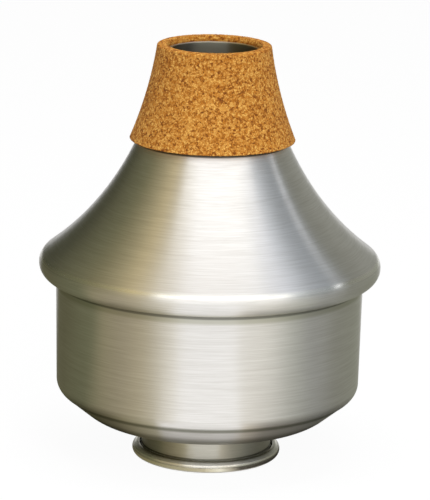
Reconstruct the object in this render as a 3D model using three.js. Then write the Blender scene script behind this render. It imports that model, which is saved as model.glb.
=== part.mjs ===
// A trumpet wah-wah mute: a body of two spun aluminium shells rolled together at a bead, a cork collar
// round its neck, and a stem that slides and turns in a bush in the middle of its underside.
// Millimetres, +Z up. The mute stands on the rim of the stem's cup, with the floor at Z = 0 on its axis.
import * as THREE from "three";

const { degToRad } = THREE.MathUtils;

// Sheet and fits
const shell_wall = 0.8; // spun sheet of both shells
const running_gap = 0.3; // between pieces that turn or are rolled together
const glue_gap = 0.3; // between the neck and its cork

// Upper shell: neck, flare and bead
const body_radius = 52.5; // over the bead
const bead_radius = 4.3;
const flare_height = 39.0; // from the middle of the bead to the foot of the neck
const neck_foot_radius = 22.9;
const neck_end_radius = 14.3;
const neck_length = 27.5;
const neck_foot_angle = degToRad(23.9); // the flare's lean from upright at the foot of the neck
const neck_end_angle = degToRad(12); // the neck's lean from upright at its end
const shoulder_angle = degToRad(36.9); // the flare's slope where it runs into the bead
const bead_end_angle = degToRad(98); // how far the bead is rolled under its widest line

// Lower shell: turned edge, drum, corner, bevel, dish and recess
const drum_taper = 0.55; // how much narrower the drum is at its corner than at the bead
const drum_length = 32.5; // from the bead's lower edge to the top of the corner
const edge_bend_radius = 0.8; // where the drum's upper edge is turned out inside the bead
const edge_gap = 0.35; // between the turned edge and the inside of the bead
const corner_radius = 4.7;
const crease_angle = degToRad(10); // how far the corner runs on past the slope of the bevel
const bevel_angle = degToRad(39.4); // slope of the underside next to the corner
const bevel_foot_radius = 38.4;
const dish_bend_radius = 12.3; // between the bevel and the dish
const dish_angle = degToRad(16.5); // slope of the underside next to the recess
const fold_inner_radius = 0.4; // inside the fold between the dish and the recess
const recess_depth = 1.8;
const recess_clearance = 0.8; // round the cup where it enters the recess

// Cork collar
const cork_foot_wall = 2.15;
const cork_top_wall = 2.9;
const cork_overhang = 1.7; // how far the cork stands past the end of the neck
const cork_hollow = 1.85; // how far the cork's side draws in from a straight taper
const cork_edge = 0.7; // broken edge round the cork's top

// Stem: tube and cup
const tube_radius = 11.0;
const tube_wall = 0.8;
const tube_length = 88.0; // above the cup's seat
const tube_lip = 1.8; // width of the tube's edge, spun over inside the cup
const lip_bend_radius = 0.4;
const cup_wall = 0.8;
const cup_depth = 10.3; // from the cup's seat to the floor it stands on
const cup_base_radius = 19.85;
const cup_flare = 0.3; // how much wider the cup is at its rim than at its base
const cup_corner_radius = 2.0;
const curl_radius = 1.8; // of the cup's rolled rim
const curl_flat = 1.0; // width of the flat that the rim stands on
const curl_end_angle = degToRad(104); // how far the rim's roll comes back up past its widest line

// Bush in the underside, and the rubber ring in it
const bush_wall = 1.3;
const bush_clearance = 0.35; // between the tube and the bush
const bush_flange_width = 4.2;
const bush_flange_thickness = 0.8;
const bush_lip_width = 1.1; // spun over on the inside of the shell
const bush_lip_thickness = 0.8;
const bush_length = 9.0; // from its spun lip to the ring's housing
const housing_wall = 1.0;
const ring_thickness = 2.4; // of the rubber ring's round section

// Points of a section nearer than this are one point
const same_point_distance = 0.001;

// Steps round the axis and along the curves
const shell_sides = 48;
const stem_sides = 40;
const ring_section_sides = 8;
const neck_steps = 3;
const flare_steps = 9;
const bead_over_steps = 4;
const bead_under_steps = 6;
const corner_steps = 5;
const dish_bend_steps = 4;
const fold_steps = 5;
const bend_steps = 3;
const cork_steps = 5;
const curl_steps = 6;

// A point of a section: its radius from the axis and its height.
const at = (radius, height) => new THREE.Vector2(radius, height);

// The point at an angle on a circle of a section; 0 points away from the axis and a right angle points up.
const onCircle = (center, radius, angle) =>
  at(center.x + radius * Math.cos(angle), center.y + radius * Math.sin(angle));

// Points along an arc, with both of its ends.
function arc(center, radius, from, to, steps) {
  const points = [];
  for (let i = 0; i <= steps; i++)
    points.push(onCircle(center, radius, THREE.MathUtils.lerp(from, to, i / steps)));
  return points;
}

// Points along a curve that leaves its start towards the pull point and reaches its end from there.
const curve = (start, pull, end, steps) =>
  new THREE.QuadraticBezierCurve(start, pull, end).getPoints(steps);

// The point at a radius on a line from a point at an angle.
const onLine = (point, angle, radius) => at(radius, point.y + (radius - point.x) * Math.tan(angle));

// Where a line from one point at one angle meets a line from another point at another angle.
function crossing(first, first_angle, second, second_angle) {
  const along = at(Math.cos(first_angle), Math.sin(first_angle));
  const across = at(-Math.sin(second_angle), Math.cos(second_angle));
  const distance = second.clone().sub(first).dot(across) / along.dot(across);
  return first.clone().addScaledVector(along, distance);
}

// One path from several, without the points that two of them share.
function joined(...paths) {
  const apart = (point, other) => point.distanceTo(other) > same_point_distance;
  return paths.flat().filter((point, i, all) => i === 0 || apart(point, all[i - 1]));
}

// A path moved to its left by the same distance everywhere, or to its right if negative.
function movedLeft(path, distance) {
  const leftOf = (a, b) => at(a.y - b.y, b.x - a.x).normalize();
  return path.map((point, i) => {
    const before = leftOf(path[Math.max(i - 1, 0)], path[Math.max(i, 1)]);
    const after = leftOf(path[Math.min(i, path.length - 2)], path[Math.min(i + 1, path.length - 1)]);
    const middle = before.clone().add(after).normalize();
    return point.clone().addScaledVector(middle, distance / middle.dot(after));
  });
}

// The section of a sheet with one face on a path; its wall lies to the path's left, or right if negative.
const sheet = (path, wall) => [...path, ...movedLeft(path, wall).reverse()];

// A piece turned round the axis from its closed section.
function turned(name, section, sides, material) {
  const loop = THREE.ShapeUtils.isClockWise(section) ? section.slice().reverse() : section.slice();
  loop.push(loop[0]);
  const geometry = new THREE.LatheGeometry(loop, sides);
  geometry.rotateX(Math.PI / 2);
  const mesh = new THREE.Mesh(geometry, material);
  mesh.name = name;
  return mesh;
}

const aluminium = new THREE.MeshStandardMaterial({ color: 0xb9b6a8, roughness: 0.35, metalness: 1 });
const stem_aluminium = new THREE.MeshStandardMaterial({ color: 0xc4c0b0, roughness: 0.3, metalness: 1 });
const cork = new THREE.MeshStandardMaterial({ color: 0xc4873f, roughness: 0.9, metalness: 0 });
const rubber = new THREE.MeshStandardMaterial({ color: 0x1f1f1f, roughness: 0.8, metalness: 0 });

// Heights of the body above the cup's seat, worked up from it
const seat_sheet = bush_flange_thickness; // underside of the sheet that the bush goes through
const fold_radius = fold_inner_radius + shell_wall;
const fold_center = at(
  cup_base_radius + recess_clearance + fold_radius,
  seat_sheet - recess_depth + fold_radius,
);
const dish_normal = dish_angle - Math.PI / 2;
const bevel_normal = bevel_angle - Math.PI / 2;
const dish_start = onCircle(fold_center, fold_radius, dish_normal);
const dish_bend_width = dish_bend_radius * (Math.cos(bevel_normal) - Math.cos(dish_normal));
const dish_end = onLine(dish_start, dish_angle, bevel_foot_radius - dish_bend_width);
const dish_bend = onCircle(dish_end, -dish_bend_radius, dish_normal);
const bevel_foot = onCircle(dish_bend, dish_bend_radius, bevel_normal);
const bead_inner_radius = bead_radius - shell_wall;
const bead_center_radius = body_radius - bead_radius;
const drum_top_radius = bead_center_radius + bead_radius * Math.cos(bead_end_angle) - running_gap;
const drum_foot_radius = drum_top_radius - drum_taper;
const crease_normal = bevel_normal - crease_angle;
const crease_radius = drum_foot_radius - corner_radius + corner_radius * Math.cos(crease_normal);
const crease = onLine(bevel_foot, bevel_angle, crease_radius);
const corner_center = onCircle(crease, -corner_radius, crease_normal);
const bead_center = at(bead_center_radius, corner_center.y + drum_length + bead_radius);
const neck_foot = at(neck_foot_radius, bead_center.y + flare_height);
const neck_end = at(neck_end_radius, neck_foot.y + neck_length);

// The upper shell's outer face from the end of its neck down to the edge of its bead.
const bead_start = onCircle(bead_center, bead_radius, Math.PI / 2 - shoulder_angle);
const neck_pull = crossing(neck_foot, Math.PI / 2 + neck_foot_angle, neck_end, Math.PI / 2 + neck_end_angle);
const flare_pull = crossing(neck_foot, Math.PI / 2 + neck_foot_angle, bead_start, Math.PI - shoulder_angle);
const neck_face = curve(neck_end, neck_pull, neck_foot, neck_steps);
const flare_face = curve(neck_foot, flare_pull, bead_start, flare_steps);

function upperShell() {
  const over_face = arc(bead_center, bead_radius, Math.PI / 2 - shoulder_angle, 0, bead_over_steps);
  const under_face = arc(bead_center, bead_radius, 0, -bead_end_angle, bead_under_steps);
  const face = joined(neck_face, flare_face, over_face, under_face);
  return turned("upper_shell", sheet(face, -shell_wall), shell_sides, aluminium);
}

// The lower shell runs from its edge, turned out inside the bead, down the drum and in to the bush.
function lowerShell() {
  const half_wall = shell_wall / 2;
  const edge_underside = bead_center.y - half_wall;
  const edge_reach = Math.sqrt(bead_inner_radius ** 2 - half_wall ** 2) - edge_gap;
  const edge_radius = bead_center.x + edge_reach;
  const edge_bend = at(drum_top_radius + edge_bend_radius, edge_underside - edge_bend_radius);
  const bush_hole_radius = tube_radius + bush_clearance + bush_wall + running_gap;
  const face = joined(
    [at(edge_radius, edge_underside)],
    arc(edge_bend, edge_bend_radius, Math.PI / 2, Math.PI, bend_steps),
    arc(corner_center, corner_radius, 0, crease_normal, corner_steps),
    arc(dish_bend, dish_bend_radius, bevel_normal, dish_normal, dish_bend_steps),
    arc(fold_center, fold_radius, dish_normal, -Math.PI, fold_steps),
    [at(fold_center.x - fold_radius, seat_sheet)],
    [at(bush_hole_radius, seat_sheet)],
  );
  return turned("lower_shell", sheet(face, -shell_wall), shell_sides, aluminium);
}

// The cork follows the neck on its inside, stands a little past the neck's end and tapers in a hollow curve.
function corkCollar() {
  const bore_face = movedLeft(neck_face, glue_gap);
  const bore_end = bore_face[0];
  const bore_foot = bore_face.at(-1);
  const top = neck_end.y + cork_overhang;
  const foot = at(bore_foot.x + cork_foot_wall, neck_foot.y);
  const rim = at(bore_end.x + cork_top_wall, top - cork_edge);
  const middle = foot.clone().lerp(rim, 1 / 2);
  const pull = at(middle.x - cork_hollow, middle.y);
  const side_face = curve(foot, pull, rim, cork_steps);
  const section = joined(
    [at(bore_end.x, top)],
    bore_face.slice(0, -1),
    [at(bore_foot.x, neck_foot.y)],
    side_face,
    [at(rim.x - cork_edge, top)],
  );
  return turned("cork_collar", section, shell_sides, cork);
}

// Sizes that the bush, its ring and the tube share
const bush_bore = tube_radius + bush_clearance;
const bush_outer = bush_bore + bush_wall;
const ring_radius = tube_radius + running_gap + ring_thickness / 2;
const groove_radius = ring_radius + ring_thickness / 2 + running_gap;
const groove_width = ring_thickness + 2 * running_gap;
const lip_bottom = seat_sheet + shell_wall;
const lip_top = lip_bottom + bush_lip_thickness;
const housing_bottom = lip_top + bush_length;
const groove_bottom = housing_bottom + housing_wall;
const groove_top = groove_bottom + groove_width;
const housing_top = groove_top + housing_wall;

// The bush: a flange under the shell, a lip spun over above it, and a housing with a groove for the ring.
function stemSocket() {
  const flange_radius = bush_outer + bush_flange_width;
  const lip_radius = bush_outer + bush_lip_width;
  const housing_radius = groove_radius + housing_wall;
  const section = [
    at(bush_bore, 0),
    at(flange_radius, 0),
    at(flange_radius, seat_sheet),
    at(bush_outer, seat_sheet),
    at(bush_outer, lip_bottom),
    at(lip_radius, lip_bottom),
    at(lip_radius, lip_top),
    at(bush_outer, lip_top),
    at(bush_outer, housing_bottom),
    at(housing_radius, housing_bottom),
    at(housing_radius, housing_top),
    at(bush_bore, housing_top),
    at(bush_bore, groove_top),
    at(groove_radius, groove_top),
    at(groove_radius, groove_bottom),
    at(bush_bore, groove_bottom),
  ];
  return turned("stem_socket", section, stem_sides, stem_aluminium);
}

function frictionRing() {
  const section = arc(at(ring_radius, 0), ring_thickness / 2, 0, 2 * Math.PI, ring_section_sides).slice(0, -1);
  const ring = turned("friction_ring", section, stem_sides, rubber);
  ring.position.z = (groove_bottom + groove_top) / 2;
  return ring;
}

// The tube goes through the base of the cup and its edge is spun over inside.
function stemTube() {
  const lip_face = -cup_wall - tube_wall;
  const bend_outer_radius = lip_bend_radius + tube_wall;
  const bend = at(tube_radius + lip_bend_radius, lip_face + bend_outer_radius);
  const bore_face = joined(
    [at(tube_radius + lip_bend_radius + tube_lip, lip_face)],
    arc(bend, bend_outer_radius, -Math.PI / 2, -Math.PI, bend_steps),
    [at(tube_radius - tube_wall, tube_length)],
  );
  return turned("stem_tube", sheet(bore_face, -tube_wall), stem_sides, stem_aluminium);
}

// The cup: a flat base that seats on the bush, a wall, and a rim rolled outwards with a flat to stand on.
function stemCup() {
  const hole_radius = tube_radius + lip_bend_radius + running_gap;
  const mouth_radius = cup_base_radius + cup_flare - cup_wall;
  const half_flat = Math.asin(curl_flat / 2 / curl_radius);
  const curl_center = at(mouth_radius + curl_radius, curl_radius * Math.cos(half_flat) - cup_depth);
  const corner = at(cup_base_radius - cup_corner_radius, -cup_corner_radius);
  const inner_face = joined(
    [at(hole_radius, -cup_wall)],
    arc(corner, cup_corner_radius - cup_wall, Math.PI / 2, 0, bend_steps),
    arc(curl_center, curl_radius, Math.PI, Math.PI * 1.5 - half_flat, bend_steps),
    arc(curl_center, curl_radius, Math.PI * 1.5 + half_flat, Math.PI * 2 + curl_end_angle, curl_steps),
  );
  return turned("stem_cup", sheet(inner_face, cup_wall), stem_sides, stem_aluminium);
}

// The body and the stem both start at the cup's seat.
const body = new THREE.Group();
body.position.z = cup_depth;
body.add(upperShell(), lowerShell(), corkCollar(), stemSocket(), frictionRing());

const stem = new THREE.Group();
stem.position.z = cup_depth;
stem.add(stemTube(), stemCup());

const mute = new THREE.Group();
mute.add(body, stem);

export default mute;
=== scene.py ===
"""Looks of a trumpet wah-wah mute: two spun aluminium shells, a cork collar and a stem with a cup.

Every size is in metres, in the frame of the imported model: +Z runs up the mute's axis, and the rim of the
stem's cup stands on the floor at Z = 0. Each visible piece is a section turned round that axis.
"""

from __future__ import annotations

import logging
import math
from collections.abc import Callable
from dataclasses import dataclass, field
from enum import Enum
from functools import partial

import bpy
from mathutils import Euler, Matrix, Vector


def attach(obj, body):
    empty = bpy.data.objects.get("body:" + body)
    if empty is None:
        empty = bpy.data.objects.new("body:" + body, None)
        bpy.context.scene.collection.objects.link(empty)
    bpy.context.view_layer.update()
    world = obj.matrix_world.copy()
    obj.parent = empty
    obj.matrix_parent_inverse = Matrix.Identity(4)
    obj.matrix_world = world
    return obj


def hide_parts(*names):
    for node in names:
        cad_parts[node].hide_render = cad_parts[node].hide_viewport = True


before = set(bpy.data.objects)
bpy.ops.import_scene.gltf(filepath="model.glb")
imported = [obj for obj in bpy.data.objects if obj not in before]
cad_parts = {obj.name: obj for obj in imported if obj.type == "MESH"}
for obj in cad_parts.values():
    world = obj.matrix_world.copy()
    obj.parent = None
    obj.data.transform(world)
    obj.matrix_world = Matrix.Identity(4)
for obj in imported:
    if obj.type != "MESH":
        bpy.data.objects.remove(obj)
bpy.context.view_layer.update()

log = logging.getLogger("mute")

TOUCHING = 0.000001  # Points nearer than this thousandth of a millimetre are one point.
FULL_TURN = 2 * math.pi
RIGHT_ANGLE = math.pi / 2

Point = tuple[float, float]
Section = list[Point]
Adder = Callable[..., bpy.types.Node]


class Rig(Enum):
    """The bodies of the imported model, by what they are."""

    STEM = "stem"
    RING = "ring"
    BODY = "mute_body"


def linear(hex_colour: str) -> tuple[float, float, float, float]:
    """Turns an sRGB hex colour into Blender's linear colour.

    Args:
        hex_colour: Six hex digits, such as "C8873F".

    Returns:
        Red, green, blue and an alpha of 1.
    """
    parts = [int(hex_colour[i : i + 2], 16) / 255 for i in (0, 2, 4)]
    red, green, blue = (c / 12.92 if c <= 0.04045 else ((c + 0.055) / 1.055) ** 2.4 for c in parts)
    return red, green, blue, 1.0


def add_node(
    tree: bpy.types.NodeTree,
    kind: str,
    inputs: dict[int | str, object] | None = None,
    **settings: object,
) -> bpy.types.Node:
    """Adds a node with its settings, and sets or links its inputs.

    Args:
        tree: The tree that gets the node.
        kind: Blender's name for the node's type.
        inputs: For each input socket, by name or number, a value or what feeds it: an output socket, or a
            node, which feeds it from the first output that its settings leave open.
        settings: The node's own properties.

    Returns:
        The new node.
    """
    node = tree.nodes.new(kind)
    for name, value in settings.items():
        setattr(node, name, value)
    for socket, value in (inputs or {}).items():
        if isinstance(value, bpy.types.Node):
            value = next(output for output in value.outputs if output.enabled)
        if isinstance(value, bpy.types.NodeSocket):
            tree.links.new(value, node.inputs[socket])
        else:
            node.inputs[socket].default_value = value
    return node


def emptied(owner: bpy.types.Material | bpy.types.World) -> Adder:
    """Empties the node tree of a material or world.

    Args:
        owner: What the tree belongs to.

    Returns:
        add_node for that tree.
    """
    owner.use_nodes = True
    owner.node_tree.nodes.clear()
    return partial(add_node, owner.node_tree)


def new_material(name: str) -> tuple[bpy.types.Material, Adder]:
    """Gives a new material without nodes, and what adds a node to it."""
    material = bpy.data.materials.new(name)
    return material, emptied(material)


def between(add: Adder, value: bpy.types.NodeSocket, low: Point, high: Point) -> bpy.types.Node:
    """Adds a mask with two soft edges.

    Args:
        add: Adds a node to the tree.
        value: What the mask follows.
        low: The values where the lower edge starts and where it is full.
        high: The values where the upper edge ends and where it is full.

    Returns:
        1 between the edges and 0 outside them.
    """
    lower, upper = (
        add(
            "ShaderNodeMapRange",
            {"Value": value, "From Min": outer, "From Max": inner},
            interpolation_type="SMOOTHSTEP",
        )
        for outer, inner in (low, high)
    )
    return add("ShaderNodeMath", {0: lower, 1: upper}, operation="MULTIPLY")


def linked(name: str, data: bpy.types.ID) -> bpy.types.Object:
    """Makes an object from a mesh, lamp or camera and links it to the scene."""
    made = bpy.data.objects.new(name, data)
    bpy.context.scene.collection.objects.link(made)
    return made


def on_circle(center: Point, radius: float, angle: float) -> Point:
    """Gives the point of a circle at an angle, where 0 points away from the axis."""
    return center[0] + radius * math.cos(angle), center[1] + radius * math.sin(angle)


def arc(center: Point, radius: float, start: float, end: float, steps: int) -> Section:
    """Gives points along an arc, both ends included."""
    return [on_circle(center, radius, start + (end - start) * i / steps) for i in range(steps + 1)]


def curve(start: Point, pull: Point, end: Point, steps: int) -> Section:
    """Draws a quadratic curve.

    Args:
        start: Where it starts.
        pull: The point that it leaves its start towards.
        end: Where it ends.
        steps: Into how many steps it is cut.

    Returns:
        Points along it, both ends included.
    """
    points = []
    for i in range(steps + 1):
        t = i / steps
        weights = ((1 - t) ** 2, 2 * t * (1 - t), t**2)
        points.append(tuple(sum(w * p[k] for w, p in zip(weights, (start, pull, end))) for k in (0, 1)))
    return points


def on_line(point: Point, angle: float, radius: float) -> Point:
    """Gives the point at a radius on a line that is given by a point and an angle."""
    return radius, point[1] + (radius - point[0]) * math.tan(angle)


def crossing(first: Point, first_angle: float, second: Point, second_angle: float) -> Point:
    """Finds where two lines meet.

    Args:
        first: A point of the first line.
        first_angle: The first line's angle.
        second: A point of the second line.
        second_angle: The second line's angle.

    Returns:
        The point that both share.
    """
    along = (math.cos(first_angle), math.sin(first_angle))
    across = (-math.sin(second_angle), math.cos(second_angle))
    gap = (second[0] - first[0], second[1] - first[1])
    distance = (gap[0] * across[0] + gap[1] * across[1]) / (along[0] * across[0] + along[1] * across[1])
    return first[0] + along[0] * distance, first[1] + along[1] * distance


def joined(*paths: Section) -> Section:
    """Joins paths.

    Args:
        paths: The paths, in order.

    Returns:
        One path, without any point that touches the one before it.
    """
    whole: Section = []
    for point in (p for path in paths for p in path):
        if not whole or math.dist(point, whole[-1]) > TOUCHING:
            whole.append(point)
    return whole


def stepped(*corners: Point) -> Section:
    """Draws a closed section of level faces and of faces along the axis, in turn.

    Args:
        corners: Every other corner, each where a level face starts.

    Returns:
        All the corners.
    """
    section: Section = []
    for (radius, height), (next_radius, _) in zip(corners, corners[1:] + corners[:1]):
        section += [(radius, height), (next_radius, height)]
    return section


def moved_left(path: Section, distance: float) -> Section:
    """Moves a path to its left by the same distance everywhere, or to its right if negative.

    Args:
        path: The points to move.
        distance: How far they move, square to the path.

    Returns:
        As many points as the path has.
    """

    def left_of(a: Point, b: Point) -> Vector:
        """Gives the direction to the left of a line."""
        return Vector((a[1] - b[1], b[0] - a[0])).normalized()

    moved = []
    last = len(path) - 1
    for i, point in enumerate(path):
        before = left_of(path[max(i - 1, 0)], path[max(i, 1)])
        after = left_of(path[min(i, last - 1)], path[min(i + 1, last)])
        middle = (before + after).normalized()
        shift = middle * (distance / middle.dot(after))
        moved.append((point[0] + shift.x, point[1] + shift.y))
    return moved


def sheet(path: Section, wall: float) -> Section:
    """Gives the closed section of a sheet whose wall lies to the path's left, or right if negative."""
    return path + moved_left(path, wall)[::-1]


def softened(
    section: Section,
    radius: float,
    steps: int = 4,
    from_angle: float = math.radians(25),
    side_share: float = 0.45,
) -> Section:
    """Rounds the corners of a closed section.

    Args:
        section: The closed section.
        radius: The radius of the rounding, less where a side is too short for it.
        steps: Into how many chords each rounding is cut.
        from_angle: The least turn that counts as a corner.
        side_share: The most of a side that one rounding takes.

    Returns:
        The section with each corner as a short curve.
    """
    made: Section = []
    for i, point in enumerate(section):
        here = Vector(point)
        back = Vector(section[i - 1]) - here
        ahead = Vector(section[(i + 1) % len(section)]) - here
        turn = math.pi - back.angle(ahead)
        if turn < from_angle:
            made.append(point)
            continue
        reach = min(radius * math.tan(turn / 2), side_share * back.length, side_share * ahead.length)
        start = here + back.normalized() * reach
        end = here + ahead.normalized() * reach
        made += curve(tuple(start), point, tuple(end), steps)
    return made


def faced_out(section: Section) -> Section:
    """Gives a closed section in the order that turns its faces outwards: down its outer side."""
    area = sum(a[0] * b[1] - b[0] * a[1] for a, b in zip(section, section[1:] + section[:1]))
    return section[::-1] if area > 0 else section


@dataclass(frozen=True)
class Relief:
    """Grains on a piece's surface: cells of two sizes, each with a hollow seam round it.

    Attributes:
        grain: Width of the large grains.
        depth: How deep the seams between the large grains lie. At 0 there are none.
        fine_grain: Width of the small grains.
        fine_depth: How deep the seams between the small grains lie. At 0 there are none.
    """

    grain: float = 1.0
    depth: float = 0.0
    fine_grain: float = 1.0
    fine_depth: float = 0.0


class Lathe:
    """Turns sections round the mute's axis with one Geometry Nodes tree.

    Attributes:
        INPUTS: The tree's inputs and what each takes.
        SEAM: How far a seam reaches into its grain, as a share of the grain's width.
        tree: The tree, which all pieces share.
        identifiers: The identifier of each input.
    """

    INPUTS = {
        "Section": "Geometry",
        "Section Points": "Int",
        "Steps Round": "Int",
        "Grain": "Float",
        "Grain Depth": "Float",
        "Fine Grain": "Float",
        "Fine Grain Depth": "Float",
        "Finish": "Material",
    }
    SEAM = 0.16

    def __init__(self) -> None:
        """Builds the tree: a grid whose rows follow the section and whose columns go round the axis."""
        self.tree = bpy.data.node_groups.new("turn_round_axis", "GeometryNodeTree")
        sockets = self.tree.interface
        sockets.new_socket("Turned", in_out="OUTPUT", socket_type="NodeSocketGeometry")
        self.identifiers = {
            name: sockets.new_socket(name, in_out="INPUT", socket_type=f"NodeSocket{kind}").identifier
            for name, kind in self.INPUTS.items()
        }
        add = partial(add_node, self.tree)
        given = add("NodeGroupInput").outputs
        columns = add("ShaderNodeMath", {0: given["Steps Round"], 1: 1.0}, operation="ADD")
        rows = add("ShaderNodeMath", {0: given["Section Points"], 1: 1.0}, operation="ADD")
        size = {"Vertices X": rows, "Vertices Y": columns, "Size X": 1.0, "Size Y": 1.0}
        grid = add("GeometryNodeMeshGrid", size)
        index = add("GeometryNodeInputIndex")
        row = add("ShaderNodeMath", {0: index, 1: columns}, operation="DIVIDE")
        row = add("ShaderNodeMath", {0: row}, operation="FLOOR")
        row = add("ShaderNodeMath", {0: row, 1: given["Section Points"]}, operation="MODULO")
        column = add("ShaderNodeMath", {0: index, 1: columns}, operation="MODULO")
        share = add("ShaderNodeMath", {0: column, 1: given["Steps Round"]}, operation="DIVIDE")
        angle = add("ShaderNodeMath", {0: share, 1: FULL_TURN}, operation="MULTIPLY")
        position = add("GeometryNodeInputPosition")
        spot = add(
            "GeometryNodeSampleIndex",
            {"Geometry": given["Section"], "Value": position, "Index": row},
            data_type="FLOAT_VECTOR",
            domain="POINT",
        )
        turned = add("ShaderNodeVectorRotate", {"Vector": spot, "Angle": angle}, rotation_type="Z_AXIS")
        shaped = add("GeometryNodeSetPosition", {"Geometry": grid, "Position": turned})
        closed = add("GeometryNodeMergeByDistance", {"Geometry": shaped, "Distance": TOUCHING})
        offset = self._relief(add, given, position)
        raised = add("GeometryNodeSetPosition", {"Geometry": closed, "Offset": offset})
        smooth = add("GeometryNodeSetShadeSmooth", {"Geometry": raised, "Shade Smooth": True})
        real = add("GeometryNodeRealizeInstances", {"Geometry": smooth})
        dressed = add("GeometryNodeSetMaterial", {"Geometry": real, "Material": given["Finish"]})
        add("NodeGroupOutput", {"Turned": dressed})

    def _relief(
        self, add: Adder, given: bpy.types.bpy_prop_collection, position: bpy.types.Node
    ) -> bpy.types.Node:
        """Adds the nodes that sink the seams between grains below the surface.

        Args:
            add: Adds a node to the tree that is built.
            given: The outputs of its input node.
            position: Its position node.

        Returns:
            The offset of each point.
        """
        depths = []
        for grain in ("Grain", "Fine Grain"):
            per_metre = add("ShaderNodeMath", {0: 1.0, 1: given[grain]}, operation="DIVIDE")
            cell = {"Vector": position, "Scale": per_metre, "Randomness": 1.0}
            edge = add("ShaderNodeTexVoronoi", cell, feature="DISTANCE_TO_EDGE")
            fall = {"Value": edge, "From Min": 0.0, "From Max": self.SEAM, "To Min": 1.0, "To Max": 0.0}
            seam = add("ShaderNodeMapRange", fall, interpolation_type="SMOOTHSTEP")
            depth = given[f"{grain} Depth"]
            depths.append(add("ShaderNodeMath", {0: seam, 1: depth}, operation="MULTIPLY"))
        sunk = add("ShaderNodeMath", {0: depths[0], 1: depths[1]}, operation="ADD")
        inward = add("ShaderNodeMath", {0: sunk, 1: -1.0}, operation="MULTIPLY")
        normal = add("GeometryNodeInputNormal")
        return add("ShaderNodeVectorMath", {0: normal, "Scale": inward}, operation="SCALE")

    def turn(
        self,
        name: str,
        section: Section,
        finish: bpy.types.Material,
        steps: int,
        relief: Relief = Relief(),
    ) -> bpy.types.Object:
        """Turns a closed section round the axis and leaves a plain mesh.

        Args:
            name: The piece's name.
            section: Radius and height of each point, in metres.
            finish: The piece's material.
            steps: Into how many steps the turn is cut.
            relief: Grains to raise on the surface.

        Returns:
            The new object, which sits at the origin.
        """
        outline = bpy.data.meshes.new(f"{name}_section")
        outline.from_pydata([(r, 0.0, z) for r, z in faced_out(section)], [], [])
        carrier = linked(outline.name, outline)
        modifier = carrier.modifiers.new("turn", "NODES")
        modifier.node_group = self.tree
        values = {
            "Section Points": len(section),
            "Steps Round": steps,
            "Grain": relief.grain,
            "Grain Depth": relief.depth,
            "Fine Grain": relief.fine_grain,
            "Fine Grain Depth": relief.fine_depth,
            "Finish": finish,
        }
        for socket, value in values.items():
            modifier[self.identifiers[socket]] = value
        evaluated = carrier.evaluated_get(bpy.context.evaluated_depsgraph_get())
        mesh = bpy.data.meshes.new_from_object(evaluated)
        mesh.name = name
        bpy.data.objects.remove(carrier)
        bpy.data.meshes.remove(outline)
        return linked(name, mesh)


def place(piece: bpy.types.Object, node: str, body: Rig) -> None:
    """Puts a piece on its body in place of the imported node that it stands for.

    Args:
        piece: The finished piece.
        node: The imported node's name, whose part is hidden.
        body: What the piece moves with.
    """
    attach(piece, body.value)
    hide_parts(node)
    log.info("%s stands for %s and has %d faces", piece.name, node, len(piece.data.polygons))


@dataclass(frozen=True)
class Band:
    """A ring of the metal that looks different: burnished by a tool, or painted shade or a painted
    highlight in a colour of its own.

    Attributes:
        low: Height of its lower edge.
        high: Height of its upper edge.
        fade: Over what height each edge runs out.
        tone: Its colour, as sRGB hex.
        roughness: How rough it is next to the brushed metal, as a share.
    """

    low: float
    high: float
    fade: float
    tone: str
    roughness: float


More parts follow.
